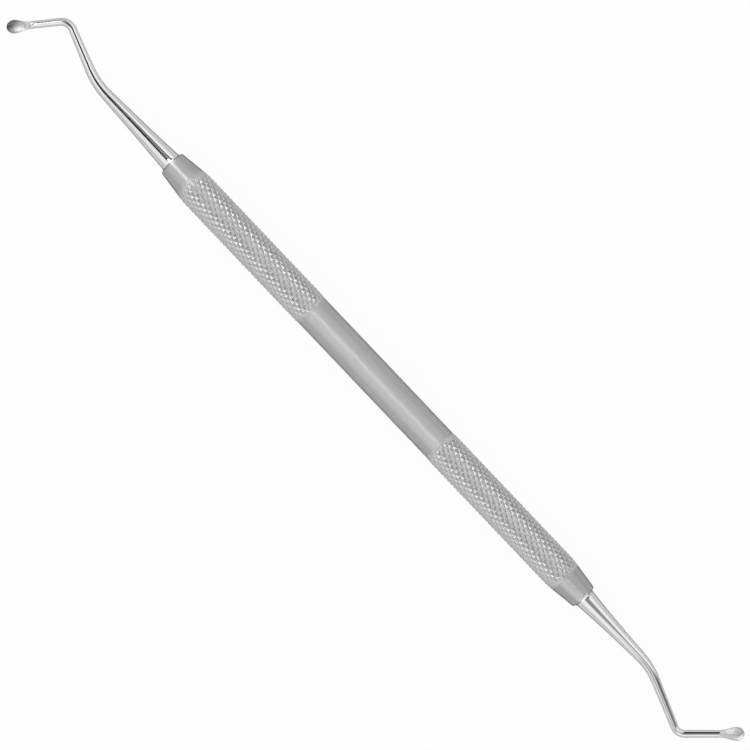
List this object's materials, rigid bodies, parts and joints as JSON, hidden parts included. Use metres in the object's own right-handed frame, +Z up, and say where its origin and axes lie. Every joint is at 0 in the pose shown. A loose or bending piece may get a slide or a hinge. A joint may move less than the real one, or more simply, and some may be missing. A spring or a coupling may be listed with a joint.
{
  "type": "dental spoon excavator",
  "caption": "Slim double-ended hand instrument: a knurled steel handle with a bent, tapered tip at each end that carries a small hollowed spoon for scooping soft decay out of a tooth.",
  "frame": {"origin": "middle of the handle's length, on the handle's axis", "axes": "+X along the handle towards the right spoon tip; the bends of both tips lie in the XY plane; +Z up, as the instrument lies on its knurled bands"},
  "size_m": [0.1708, 0.0089, 0.0062],
  "materials": {
    "satin_steel": "satin, bead-blasted after knurling",
    "polished_steel": "mirror-polished shank, satin spoon"
  },
  "bodies": {
    "root": {"handle": "satin_steel", "left_spoon_tip": "polished_steel", "right_spoon_tip": "polished_steel"}
  },
  "joints": []
}
